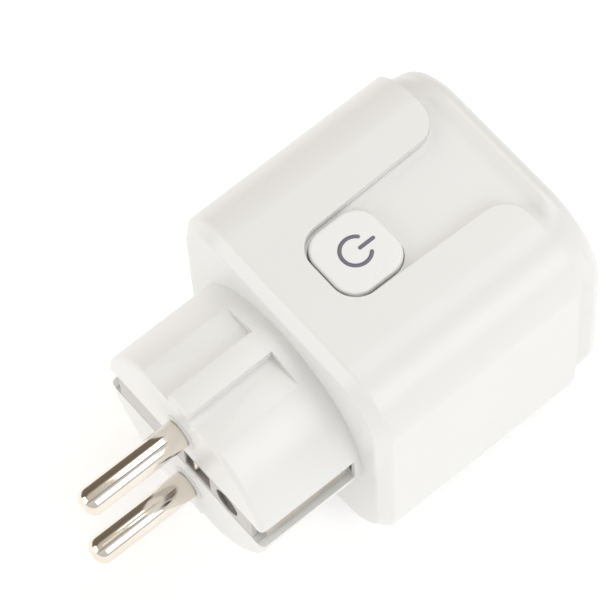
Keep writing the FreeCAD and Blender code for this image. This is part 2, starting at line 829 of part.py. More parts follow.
def draw_symbol(ring_sketch, bar_sketch):
    """The ring with a gap and the bar of the power symbol, in two sketches."""
    radius, half_stroke, gap = 2.43, 0.31, math.radians(42)
    down = -math.pi / 2
    start = down + gap
    end = down - gap + 2 * math.pi
    axis = FreeCAD.Vector(0, 0, 1)

    def on_ring(distance, angle):
        return FreeCAD.Vector(distance * math.cos(angle), distance * math.sin(angle), 0)

    inner = Part.Circle(FreeCAD.Vector(), axis, radius - half_stroke)
    outer = Part.Circle(FreeCAD.Vector(), axis, radius + half_stroke)
    first_cap = Part.Circle(on_ring(radius, start), axis, half_stroke)
    last_cap = Part.Circle(on_ring(radius, end), axis, half_stroke)
    ring_sketch.addGeometry(
        [
            Part.ArcOfCircle(outer, start, end),
            Part.ArcOfCircle(last_cap, end, end + math.pi),
            Part.ArcOfCircle(inner, start, end),
            Part.ArcOfCircle(first_cap, start - math.pi, start),
        ],
        False,
    )
    for first, first_end, second, second_end in ((0, 2, 1, 1), (1, 2, 2, 2), (2, 1, 3, 1), (3, 2, 0, 1)):
        ring_sketch.addConstraint(
            Sketcher.Constraint("Coincident", first, first_end, second, second_end)
        )
    near, far = -0.85, -3.4
    bar_sketch.addGeometry(
        [
            Part.LineSegment(FreeCAD.Vector(half_stroke, far, 0), FreeCAD.Vector(half_stroke, near, 0)),
            Part.ArcOfCircle(Part.Circle(FreeCAD.Vector(0, near, 0), axis, half_stroke), 0, math.pi),
            Part.LineSegment(FreeCAD.Vector(-half_stroke, near, 0), FreeCAD.Vector(-half_stroke, far, 0)),
            Part.ArcOfCircle(Part.Circle(FreeCAD.Vector(0, far, 0), axis, half_stroke), math.pi, 2 * math.pi),
        ],
        False,
    )
    for index in range(4):
        bar_sketch.addConstraint(Sketcher.Constraint("Coincident", index, 2, (index + 1) % 4, 1))


def build_button(s):
    """The cap, with a flange that holds it in the sleeve, and the symbol let into its top."""
    cap = new_body("button_cap")
    symbol = new_body("power_symbol")
    top = s.body_tall / 2 - s.button_drop
    sleeve_inside = s.body_tall / 2 - s.neck_inset - s.sleeve_wall
    flange_top = sleeve_inside - 0.1
    symbol_deep = 0.4

    flange = sketch_on(cap, "XY_Plane", up=-s.button_depth, out=flange_top - 0.9)
    draw_rounded_rectangle(flange, s.button_wide + 1.3, s.button_long + 1.3, s.button_corner + 0.65)
    pad(cap, flange, 0.9)
    crown = sketch_on(cap, "XY_Plane", up=-s.button_depth, out=flange_top - 0.9)
    draw_rounded_rectangle(crown, s.button_wide, s.button_long, s.button_corner)
    pad(cap, crown, top - flange_top + 0.9)
    top_edges = edges_where(cap.Shape, lambda point: abs(point.z - number_of(top)) < 1e-4)
    soften(cap, "Fillet", top_edges, 0.45)
    chamber = sketch_on(cap, "XY_Plane", up=-s.button_depth, out=flange_top - 0.9)
    draw_rounded_rectangle(chamber, s.button_wide - 2.4, s.button_long - 2.4, s.button_corner - 1.2)
    pocket(cap, chamber, top - flange_top + 0.9 - 1.2, forwards=True)
    post = sketch_on(cap, "XY_Plane", up=-s.button_depth, out=stem_top + 0.05)
    draw_circle(post, 1.3)
    pad(cap, post, top - 1.0 - stem_top)

    groove = [sketch_on(cap, "XY_Plane", up=-s.button_depth, out=top) for piece in range(2)]
    draw_symbol(*groove)
    for sketch in groove:
        pocket(cap, sketch, symbol_deep)
    inlay = [sketch_on(symbol, "XY_Plane", up=-s.button_depth, out=top - symbol_deep) for piece in range(2)]
    draw_symbol(*inlay)
    symbol.AllowCompound = True
    for sketch in inlay:
        pad(symbol, sketch, symbol_deep + 0.02)


def build_switch(s):
    """The push switch under the cap: its case and the stem that the cap presses."""
    board_top = button_board_top
    depth = (s.button_depth - 2.25, s.button_depth + 2.25)
    case = box("switch_case", (-2.25, 2.25), depth, (board_top + 0.02, board_top + 1.75))
    bore = rod("switch_bore", "Z", (0, s.button_depth, board_top + 0.6), 2, 1.0)
    keep("switch_case", cut("switch_case_cut", case, [bore]))
    stem_start = board_top + 1.2
    stem = rod("switch_stem_rod", "Z", (0, s.button_depth, stem_start), stem_top - stem_start, 0.94)
    keep("switch_stem", stem)


def build_button_board(s):
    """The small board under the button, its two lamps, the light guide and the link pins."""
    depth = (s.button_depth - 6.6, s.button_depth + 5.4)
    plate = box("button_board_plate", (-8.5, 8.5), depth, (button_board_top - 0.8, button_board_top))
    keep("button_board", plate)

    lamp_depth = (s.button_depth - 0.5, s.button_depth + 0.5)
    lamp_up = (button_board_top + 0.02, button_board_top + 0.75)
    foot_depth = (s.button_depth + 1.4, s.button_depth + 3.2)
    foot_up = (button_board_top + 0.02, button_board_top + 1.1)
    lamps = []
    feet = []
    for side in (-1, 1):
        lamps.append(box(f"lamp_{side}", (side * 3.9 - 0.8, side * 3.9 + 0.8), lamp_depth, lamp_up))
        feet.append(
            box(f"guide_foot_{side}", (side * 4.55 - 0.35, side * 4.55 + 0.35), foot_depth, foot_up)
        )
    keep("status_lamps", group("status_lamps_group", lamps))

    guide_depth = (s.button_depth - 3.4, s.button_depth + 3.4)
    middle_depth = (s.button_depth - 2.6, s.button_depth + 2.6)
    guide_up = (button_board_top + 1.0, button_board_top + 1.7)
    guide = box("guide_plate", (-4.9, 4.9), guide_depth, guide_up)
    middle = box("guide_middle", (-2.6, 2.6), middle_depth, (button_board_top, button_board_top + 3))
    keep("light_guide", cut("light_guide_cut", fuse("guide_fused", [guide] + feet), [middle]))

    low = button_board_top - 2.2
    pin_depth = (s.board_depth - 0.6, s.button_depth - 6.7)
    upright_depth = (s.button_depth - 7.3, s.button_depth - 6.66)
    links = []
    for index, across in enumerate(link_places):
        link_across = (across - 0.32, across + 0.32)
        pin = box(f"link_pin_{index}", link_across, pin_depth, (low, low + 0.64))
        upright = box(f"link_upright_{index}", link_across, upright_depth, (low, button_board_top + 0.8))
        links.append(fuse(f"link_{index}", [pin, upright]))
    keep("board_link_pins", group("board_link_group", links))


# ---------------------------------------------------------------- electronics


def build_power_board(s):
    """The main board, across the body behind the plug's pins."""
    half_wide = s.board_wide / 2
    half_tall = s.board_tall / 2
    depth = (s.board_depth, s.board_depth + s.board_thick)
    plate = box("board_plate", (-half_wide, half_wide), depth, (-half_tall, half_tall))
    rounded = round_edges("board_rounded", plate, 7.0, runs_in_depth)
    half = s.pin_pitch / 2
    start = s.board_depth - 1
    reach = s.board_thick + 2
    through = (start, start + reach)
    tools = []
    for side in (-1, 1):
        up = side * half
        tools.append(rod(f"board_pin_hole_{side}", "depth", (0, start, up), reach, s.pin_tail + 0.15))
        tools.append(box(f"board_tail_hole_{side}", (-1.7, 1.7), through, (up + 2.15, up + 3.2)))
    link_up = (button_board_top - 2.3, button_board_top - 1.46)
    for index, across in enumerate(link_places):
        tools.append(box(f"board_link_hole_{index}", (across - 0.42, across + 0.42), through, link_up))
    for index, (across, up) in enumerate(screw_places["board"]):
        tools.append(rod(f"board_screw_hole_{index}", "depth", (across, start, up), reach, 1.1))
    keep("power_board", cut("power_board_cut", rounded, tools))


def build_relay(s):
    """The load relay: base, cover, yoke, coil and the armature that it pulls."""
    start = number_of(s.board_depth + s.board_thick) + 0.05
    west, east = 6.75, 17.25
    low, high = -9.25, 9.25
    keep("relay_base", box("relay_base_plate", (west, east), (start, start + 1.4), (low, high)))
    shell = box("relay_shell", (west, east), (start + 1.45, start + 14.9), (low, high))
    room = box("relay_room", (west + 0.5, east - 0.5), (start, start + 14.4), (low + 0.5, high - 0.5))
    keep("relay_cover", cut("relay_cover_cut", shell, [room]))

    centre = (west + east) / 2
    coil_depth = start + 6.2
    plate_depth = (start + 11.4, start + 12.2)
    bobbin = [
        rod("coil_winding", "Z", (centre, coil_depth, -6.4), 11.4, 3.3),
        rod("coil_flange_low", "Z", (centre, coil_depth, -7.0), 0.7, 4.2),
        rod("coil_flange_high", "Z", (centre, coil_depth, 4.8), 0.7, 4.2),
    ]
    core_hole = rod("core_hole", "Z", (centre, coil_depth, -8), 15, 1.3)
    keep("relay_coil", cut("relay_coil_cut", fuse("coil_fused", bobbin), [core_hole]))
    yoke = [
        box("yoke_end", (centre - 3, centre + 3), (start + 3.2, plate_depth[1]), (-7.9, -7.1)),
        box("yoke_plate", (centre - 3, centre + 3), plate_depth, (-7.9, 5.6)),
        rod("yoke_core", "Z", (centre, coil_depth, -7.5), 13.4, 1.25),
    ]
    keep("relay_yoke", fuse("relay_yoke_fused", yoke))
    armature = [
        box("armature_plate", (centre - 3, centre + 3), (start + 2.6, plate_depth[1]), (6.35, 7.15)),
        box("armature_contact", (centre - 0.8, centre + 0.8), (start + 2.6, start + 4.0), (5.9, 6.4)),
    ]
    keep("relay_armature", fuse("relay_armature_fused", armature))


def build_board_parts(s):
    """The parts on the main board's two sides."""
    front = number_of(s.board_depth + s.board_thick) + 0.05
    back = number_of(s.board_depth) - 0.05

    keep("filter_capacitor", box("filter_box", (-13.5, -7.2), (front, front + 11), (-19.0, -7.0)))
    can = rod("bulk_can", "depth", (-11.6, front, 12.6), 13.0, 4.0)
    keep("bulk_capacitor", round_edges("bulk_can_rounded", can, 0.5, lambda edge: edge.Length > 20))
    drum = [
        rod("inductor_low", "depth", (11.4, front, 13.0), 1.0, 3.5),
        rod("inductor_core", "depth", (11.4, front + 0.8, 13.0), 7.0, 2.8),
        rod("inductor_high", "depth", (11.4, front + 7.6, 13.0), 1.0, 3.5),
    ]
    keep("power_inductor", fuse("power_inductor_fused", drum))
    disc = rod("varistor_disc", "X", (-11.9, front + 5.6, 0.4), 3.6, 5.2)
    legs = box("varistor_legs", (-10.4, -9.8), (front, front + 1.4), (-2.1, 2.9))
    keep("surge_varistor", fuse("surge_varistor_fused", [disc, legs]))
    keep("inline_fuse", box("fuse_box", (8.2, 16.7), (front, front + 7.6), (-15.0, -11.0)))

    keep("bridge_rectifier", box("rectifier_box", (6.5, 12.5), (back - 1.5, back), (9.0, 13.6)))
    keep("metering_chip", box("metering_box", (-12.6, -7.6), (back - 1.5, back), (-9.6, -4.6)))
    keep("supply_chip", box("supply_box", (-13.4, -8.4), (back - 1.5, back), (8.6, 12.6)))
    shunt = bent_strip([(5.2, back), (5.2, back - 1.2), (14.2, back - 1.2), (14.2, back)], 0.5, (-12.4, -8.4))
    made_shape("current_shunt", shunt)


def build_radio_module(s):
    """The radio's own small board, upright at one side, with a metal can over its chip."""
    depth = (26.4, 43.4)
    keep("radio_board", box("radio_plate", (-18.8, -18.0), depth, (-9.0, 9.0)))
    can = box("radio_can", (-17.95, -16.0), (28.0, 38.0), (-6.5, 6.5))
    room = box("radio_room", (-18.5, -16.25), (28.25, 37.75), (-6.25, 6.25))
    keep("radio_shield", cut("radio_shield_cut", can, [room]))


# ---------------------------------------------------------------- assembly

screw_places = {
    "board": [(15.9, 16.2), (-15.9, -16.2)],
    "contact": [(10.2, -13.0), (-10.2, -13.0)],
}
link_places = (-3.81, -1.27, 1.27, 3.81)
spring_top = 4.0
spring_bottom = -9.2
button_board_top = 17.1
stem_top = 19.75


def build_all():
    s = fill_sheet()
    build_rear_housing(s)
    build_front_housing(s)
    build_face_insert(s)
    build_plug_pin(s, "upper_pin", 1)
    build_plug_pin(s, "lower_pin", -1)
    build_pin_carrier(s)
    build_plug_earth_bracket(s)
    build_earth_sleeve(s)
    build_outlet_earth_strap(s)
    build_tulip(s, "upper_tulip", 1)
    build_tulip(s, "lower_tulip", -1)
    build_contact_block(s)
    build_shutter_frame(s)
    build_shutter_slider(s)
    build_shutter_spring(s)
    build_screws(s, "contact_screws", screw_places["contact"], contact_front(s) - 0.02, 4.6)
    build_screws(s, "board_screws", screw_places["board"], s.board_depth + s.board_thick + 0.02, -4.2)
    build_button(s)
    build_switch(s)
    build_button_board(s)
    build_power_board(s)
    build_relay(s)
    build_board_parts(s)
    build_radio_module(s)


def check_and_write():
    document.recompute()
    faults = [item.Name for item in document.Objects if {"Invalid", "Error"} & set(item.State)]
    for node, item in subparts.items():
        shape = item.Shape
        if shape.isNull() or not shape.isValid() or not shape.Solids:
            faults.append(node)
    if faults:
        raise RuntimeError(f"these did not build: {faults}")
    os.makedirs("parts", exist_ok=True)
    for node, item in subparts.items():
        item.Shape.exportStep(f"parts/{node}.step")
        print(f"{node:22s} {len(item.Shape.Solids)} solid  {item.Shape.Volume:9.1f} mm3")


build_all()
check_and_write()
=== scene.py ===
import bpy
import bmesh
import json
import math
from mathutils import Matrix, Vector


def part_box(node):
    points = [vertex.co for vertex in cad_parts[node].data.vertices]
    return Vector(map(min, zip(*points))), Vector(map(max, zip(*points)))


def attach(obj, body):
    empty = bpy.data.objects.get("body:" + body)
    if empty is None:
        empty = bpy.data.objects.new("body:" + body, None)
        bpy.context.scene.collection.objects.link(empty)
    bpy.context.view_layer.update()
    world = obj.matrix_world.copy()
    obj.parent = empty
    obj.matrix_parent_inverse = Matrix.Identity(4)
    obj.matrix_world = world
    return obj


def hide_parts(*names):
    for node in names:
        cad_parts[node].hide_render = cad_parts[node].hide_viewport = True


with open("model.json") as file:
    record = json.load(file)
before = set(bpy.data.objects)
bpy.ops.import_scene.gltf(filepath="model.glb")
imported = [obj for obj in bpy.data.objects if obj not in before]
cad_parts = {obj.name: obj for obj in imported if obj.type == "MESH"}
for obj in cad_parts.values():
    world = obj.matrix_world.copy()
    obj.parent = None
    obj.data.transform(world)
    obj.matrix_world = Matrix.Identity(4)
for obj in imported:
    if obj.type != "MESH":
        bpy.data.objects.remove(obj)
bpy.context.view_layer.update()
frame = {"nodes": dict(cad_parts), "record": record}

mm = 0.001
cornerSteps = 14  # segments in each rounded corner of the body
drumSteps = 96  # segments round a circle


# ---- hand tools: everything is added in metres, with depth measured from the plug's face towards -Y

def deselectAll():
    if bpy.context.object and bpy.context.object.mode != "OBJECT":
        bpy.ops.object.mode_set(mode="OBJECT")
    bpy.ops.object.select_all(action="DESELECT")


def pick(piece):
    deselectAll()
    piece.select_set(True)
    bpy.context.view_layer.objects.active = piece


def openMesh(piece, kind="EDGE"):
    pick(piece)
    bpy.ops.object.mode_set(mode="EDIT")
    bpy.ops.mesh.select_mode(type=kind)
    bpy.ops.mesh.select_all(action="DESELECT")
    return bmesh.from_edit_mesh(piece.data)


def closeMesh():
    bpy.ops.object.mode_set(mode="OBJECT")


def selectEdges(piece, test):
    # edges whose two ends both pass the test
    mesh = openMesh(piece, "EDGE")
    for edge in mesh.edges:
        edge.select = all(test(corner.co) for corner in edge.verts)
    mesh.select_flush_mode()
    bmesh.update_edit_mesh(piece.data)


def selectFaces(piece, test):
    mesh = openMesh(piece, "FACE")
    for face in mesh.faces:
        face.select = test(face)
    mesh.select_flush_mode()
    bmesh.update_edit_mesh(piece.data)


def settle(piece):
    pick(piece)
    bpy.ops.object.transform_apply(location=True, rotation=True, scale=True)


def block(across, depth, up):
    middle = [(low + high) / 2 for low, high in (across, depth, up)]
    deselectAll()
    bpy.ops.mesh.primitive_cube_add(size=1, location=(middle[0], -middle[1], middle[2]))
    piece = bpy.context.object
    piece.scale = (across[1] - across[0], depth[1] - depth[0], up[1] - up[0])
    settle(piece)
    return piece


def drum(radius, depth, across=0, up=0, steps=drumSteps):
    deselectAll()
    middle = -(depth[0] + depth[1]) / 2
    bpy.ops.mesh.primitive_cylinder_add(
        vertices=steps, radius=radius, depth=depth[1] - depth[0],
        location=(across, middle, up), rotation=(math.radians(90), 0, 0))
    piece = bpy.context.object
    settle(piece)
    return piece


def post(radius, up, across=0, depth=0, steps=drumSteps):
    deselectAll()
    bpy.ops.mesh.primitive_cylinder_add(
        vertices=steps, radius=radius, depth=up[1] - up[0], location=(across, -depth, (up[0] + up[1]) / 2))
    piece = bpy.context.object
    settle(piece)
    return piece


def bevelEdges(piece, test, reach, steps=4, profile=0.5):
    selectEdges(piece, test)
    bpy.ops.mesh.bevel(offset=reach, segments=steps, profile=profile, affect="EDGES", clamp_overlap=True)
    closeMesh()


def useTool(piece, tool, operation):
    modifier = piece.modifiers.new("join", "BOOLEAN")
    modifier.operation = operation
    modifier.solver = "EXACT"
    modifier.object = tool
    pick(piece)
    bpy.ops.object.modifier_apply(modifier=modifier.name)
    bpy.data.objects.remove(tool)


def cutAway(piece, *tools):
    for tool in tools:
        useTool(piece, tool, "DIFFERENCE")


def weld(piece, *others):
    for other in others:
        useTool(piece, other, "UNION")


def easeEdges(piece, reach, steps=3, angle=32):
    # a small radius on every edge sharper than the angle, then flat faces shaded flat
    pick(piece)
    modifier = piece.modifiers.new("ease", "BEVEL")
    modifier.width = reach
    modifier.segments = steps
    modifier.limit_method = "ANGLE"
    modifier.angle_limit = math.radians(angle)
    modifier.use_clamp_overlap = True
    modifier.miter_outer = "MITER_ARC"
    bpy.ops.object.modifier_apply(modifier=modifier.name)
    smoothFaces(piece)


def smoothFaces(piece):
    pick(piece)
    bpy.ops.object.shade_smooth_by_angle(angle=math.radians(40))
    weights = piece.modifiers.new("weights", "WEIGHTED_NORMAL")
    weights.keep_sharp = True
    bpy.ops.object.modifier_apply(modifier=weights.name)


def roundedLoop(depth, halfWide, halfTall, corner):
    # one rounded rectangle of edges, square to the body's length
    deselectAll()
    bpy.ops.mesh.primitive_plane_add(size=2, location=(0, -depth, 0), rotation=(math.radians(90), 0, 0))
    loop = bpy.context.object
    loop.scale = (halfWide, halfTall, 1)
    settle(loop)
    openMesh(loop, "VERT")
    bpy.ops.mesh.select_all(action="SELECT")
    bpy.ops.mesh.bevel(offset=corner, segments=cornerSteps, affect="VERTICES", offset_type="OFFSET")
    bpy.ops.mesh.select_all(action="SELECT")
    bpy.ops.mesh.delete(type="ONLY_FACE")
    closeMesh()
    return loop


def softPath(points, reach, steps=4):
    # a path whose inner corners are each eased into a curve
    path = [points[0]]
    for before, corner, after in zip(points, points[1:], points[2:]):
        start = corner + (before - corner).normalized() * min(reach, (before - corner).length / 2)
        end = corner + (after - corner).normalized() * min(reach, (after - corner).length / 2)
        for step in range(steps + 1):
            along = step / steps
            path.append(start * (1 - along) ** 2 + corner * 2 * along * (1 - along) + end * along ** 2)
    path.append(points[-1])
    return path


def station(depth, inset, corner):
    # one point of a loft's path: its depth, how far it stands in and its corner radius
    return Vector((depth, inset, max(corner, 1.5 * mm)))


def loftBody(name, path, halfWide, halfTall):
    # rounded rectangles along a path of stations, bridged in turn and capped at both ends
    loops = [roundedLoop(point.x, halfWide - point.y, halfTall - point.y, point.z) for point in path]
    count = len(loops[0].data.vertices)
    deselectAll()
    for loop in loops:
        loop.select_set(True)
    bpy.context.view_layer.objects.active = loops[0]
    bpy.ops.object.join()
    piece = bpy.context.object
    piece.name = name
    for index in range(len(path) - 1):
        mesh = openMesh(piece, "EDGE")
        mesh.edges.ensure_lookup_table()
        wanted = range(index * count, (index + 2) * count)
        for edge in mesh.edges:
            ends = [corner.index for corner in edge.verts]
            sameLoop = ends[0] // count == ends[1] // count
            edge.select = sameLoop and ends[0] in wanted and ends[1] in wanted
        mesh.select_flush_mode()
        bmesh.update_edit_mesh(piece.data)
        bpy.ops.mesh.bridge_edge_loops()
        closeMesh()
    openMesh(piece, "EDGE")
    bpy.ops.mesh.select_non_manifold()
    bpy.ops.mesh.fill_holes(sides=0)
    bpy.ops.mesh.select_all(action="SELECT")
    bpy.ops.mesh.normals_make_consistent(inside=False)
    closeMesh()
    return piece


def finishPiece(piece, name, body, finish, nodes):
    piece.name = name
    piece.data.name = name
    settle(piece)
    piece.data.materials.clear()
    piece.data.materials.append(finish)
    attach(piece, body)
    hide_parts(*nodes)


# ---- shader maths

class Wire:
    def __init__(self, maker, socket):
        self.maker = maker
        self.socket = socket

    def maths(self, operation, first, second):
        return self.maker.node("ShaderNodeMath", {"operation": operation}, {0: first, 1: second})

    def __add__(self, other):
        return self.maths("ADD", self, other)

    def __radd__(self, other):
        return self.maths("ADD", other, self)

    def __sub__(self, other):
        return self.maths("SUBTRACT", self, other)

    def __rsub__(self, other):
        return self.maths("SUBTRACT", other, self)

    def __mul__(self, other):
        return self.maths("MULTIPLY", self, other)

    def __rmul__(self, other):
        return self.maths("MULTIPLY", other, self)

    def __truediv__(self, other):
        return self.maths("DIVIDE", self, other)


class Finish:
    def __init__(self, name):
        self.material = bpy.data.materials.new(name)
        self.material.use_nodes = True
        self.tree = self.material.node_tree
        self.shader = self.tree.nodes["Principled BSDF"]
        self.place = self.node("ShaderNodeTexCoord", {}, {}, "Object")

    def node(self, kind, settings, sockets, output=0):
        made = self.tree.nodes.new(kind)
        for field, setting in settings.items():
            setattr(made, field, setting)
        for key, entry in sockets.items():
            self.plug(made.inputs[key], entry)
        return Wire(self, made.outputs[output])

    def plug(self, socket, entry):
        if isinstance(entry, Wire):
            self.tree.links.new(entry.socket, socket)
        else:
            socket.default_value = entry

    def noise(self, scale, detail=2, stretch=(1, 1, 1)):
        spread = self.node("ShaderNodeMapping", {}, {"Vector": self.place, "Scale": stretch})
        return self.node("ShaderNodeTexNoise", {}, {"Vector": spread, "Scale": scale, "Detail": detail}, "Fac")

    def ramp(self, mask, low, high, start=0.0, end=1.0):
        return self.node("ShaderNodeMapRange", {}, {
            "Value": mask, "From Min": low, "From Max": high, "To Min": start, "To Max": end})

    def blend(self, mask, first, second):
        return self.node("ShaderNodeMix", {"data_type": "RGBA"}, {0: mask, 6: (*first, 1), 7: (*second, 1)}, 2)

    def bump(self, height, strength, distance):
        return self.node("ShaderNodeBump", {}, {"Height": height, "Strength": strength, "Distance": distance}, "Normal")

    def set(self, **sockets):
        for name, entry in sockets.items():
            self.plug(self.shader.inputs[name.replace("_", " ")], entry)
        return self.material


plasticLook = {"fine": 5200, "cloud": 60, "scuff": 900}


def mouldedPlastic(name, tone, shade, roughness, grain=0.06):
    # satin injection-moulded plastic: fine mould grain, faint clouding and hairline scuffs
    finish = Finish(name)
    fine = finish.noise(plasticLook["fine"], 3)
    cloud = finish.noise(plasticLook["cloud"], 3)
    scuff = finish.noise(plasticLook["scuff"], 4, (1, 0.12, 1))
    worn = finish.ramp(scuff, 0.55, 0.85)
    colour = finish.blend(finish.ramp(cloud, 0.2, 0.8), tone, shade)
    gloss = roughness + finish.ramp(cloud, 0.2, 0.8, -0.02, 0.03) + worn * 0.02
    normal = finish.bump(fine, grain, 0.00002)
    return finish.set(
        Base_Color=colour, Roughness=gloss, Normal=normal, IOR=1.5)


def platedMetal(name, tone, shade, roughness, streak=(1, 0.02, 1), grain=0.05):
    # plated or bare metal with drawing lines along one axis and a slight stain
    finish = Finish(name)
    lines = finish.noise(6000, 2, streak)
    stain = finish.noise(180, 4)
    colour = finish.blend(finish.ramp(stain, 0.35, 0.7), tone, shade)
    gloss = roughness + finish.ramp(lines, 0.3, 0.7, -0.03, 0.05) + finish.ramp(stain, 0.55, 0.8) * 0.06
    normal = finish.bump(lines, grain, 0.00001)
    return finish.set(Base_Color=colour, Roughness=gloss, Normal=normal, Metallic=1.0)


def boardLaminate(name, tone, shade):
    # circuit board: solder mask over copper areas, with a woven glass grain below it
    finish = Finish(name)
    copper = finish.node("ShaderNodeTexVoronoi", {"distance": "CHEBYCHEV"}, {"Vector": finish.place, "Scale": 420.0}, "Distance")
    track = finish.ramp(copper, 0.42, 0.5)
    weave = finish.noise(3000, 2, (1, 0.3, 1))
    return finish.set(
        Base_Color=finish.blend(track, tone, shade), Roughness=0.28 + track * 0.1 + weave * 0.06,
        Normal=finish.bump(track * 0.6 + weave * 0.3, 0.2, 0.00003))


def woundCopper(name, tone, shade):
    # enamelled wire laid in close turns along the coil
    finish = Finish(name)
    turns = finish.node(
        "ShaderNodeTexWave", {"wave_type": "BANDS", "bands_direction": "Z"},
        {"Vector": finish.place, "Scale": 900.0, "Distortion": 0.4}, "Fac")
    return finish.set(
        Base_Color=finish.blend(turns, shade, tone), Roughness=0.3 + turns * 0.08, Metallic=0.7,
        Normal=finish.bump(turns, 0.4, 0.00005))


finishes = {
    "casing": mouldedPlastic("casingPlastic", (0.80, 0.803, 0.797), (0.788, 0.791, 0.785), 0.30),
    "button": mouldedPlastic("buttonPlastic", (0.83, 0.842, 0.838), (0.82, 0.832, 0.828), 0.27),
    "symbol": mouldedPlastic("symbolInlay", (0.145, 0.135, 0.18), (0.17, 0.16, 0.21), 0.35),
    "insert": mouldedPlastic("insertPlastic", (0.565, 0.555, 0.54), (0.54, 0.53, 0.515), 0.4),
    "nickel": platedMetal("nickelPlate", (0.86, 0.81, 0.74), (0.80, 0.74, 0.66), 0.10),
}
print("finishes made")


# ---- rear housing: shell and plug nose

shellShape = {
    "bevel": 1.9 * mm, "bevelSoft": 0.45 * mm, "wall": 1.4 * mm, "backWall": 1.8 * mm,
    "corner": 10.5 * mm, "back": 19.4 * mm, "ease": 0.22 * mm,
}
noseShape = {
    "radius": 18.7 * mm, "round": 0.9 * mm, "hollow": 15.2 * mm, "wall": 4.0 * mm, "flat": 16.7 * mm,
    "flatHalf": 8.5 * mm, "rib": 2.2 * mm, "flatLong": 16.4 * mm, "slotHalf": 2.8 * mm, "slotFloor": 16.4 * mm,
    "slotLong": 18.2 * mm, "channelDeep": 2.4 * mm, "channelHalf": 17.2 * mm, "channelTall": 3.1 * mm,
    "pinHalfPitch": 9.5 * mm, "pinHole": 2.14 * mm, "collar": 3.15 * mm, "proud": 0.3 * mm,
    "earthAcross": -10 * mm, "earthWay": 3.25 * mm,
}
panelShape = {
    "narrow": 6.9 * mm, "broad": 7.8 * mm, "start": 28.4 * mm, "closedCorner": 4.3 * mm, "openCorner": 4.5 * mm,
    "edge": 0.42 * mm,
}


def panelCutter(shellEnd, top):
    # the U-shaped opening: a tapered strip that widens into a bar past the shell's end
    deselectAll()
    length = shellEnd - panelShape["start"]
    bpy.ops.mesh.primitive_plane_add(size=1, location=(0, -panelShape["start"] - length / 2, top - 2.6 * mm))
    strip = bpy.context.object
    strip.scale = (2 * panelShape["narrow"], length, 1)
    settle(strip)
    mouth = -shellEnd
    selectEdges(strip, lambda point: abs(point.y - mouth) < 1e-5)
    widen = panelShape["broad"] / panelShape["narrow"]
    bpy.ops.transform.resize(value=(widen, 1, 1))
    bpy.ops.mesh.extrude_edges_move(TRANSFORM_OT_translate={"value": (0, -3 * mm, 0)})
    closeMesh()
    for side in (-1, 1):
        selectEdges(strip, lambda point: point.y < mouth + 1e-5 and abs(point.x - side * panelShape["broad"]) < 1e-5)
        bpy.ops.mesh.extrude_edges_move(TRANSFORM_OT_translate={"value": (side * 8 * mm, 0, 0)})
        closeMesh()
    openMesh(strip, "FACE")
    bpy.ops.mesh.select_all(action="SELECT")
    bpy.ops.mesh.dissolve_limited(angle_limit=math.radians(2))
    closeMesh()
    for depth, across, radius in (
            (panelShape["start"], panelShape["narrow"], panelShape["closedCorner"]),
            (shellEnd, panelShape["broad"], panelShape["openCorner"])):
        mesh = openMesh(strip, "VERT")
        for vertex in mesh.verts:
            vertex.select = abs(vertex.co.y + depth) < 1e-5 and abs(abs(vertex.co.x) - across) < 1e-5
        mesh.select_flush_mode()
        bmesh.update_edit_mesh(strip.data)
        bpy.ops.mesh.bevel(offset=radius, segments=10, affect="VERTICES")
        closeMesh()
    openMesh(strip, "FACE")
    bpy.ops.mesh.select_all(action="SELECT")
    bpy.ops.mesh.extrude_region_move(TRANSFORM_OT_translate={"value": (0, 0, 4 * mm)})
    bpy.ops.mesh.select_all(action="SELECT")
    bpy.ops.mesh.normals_make_consistent(inside=False)
    closeMesh()
    return strip


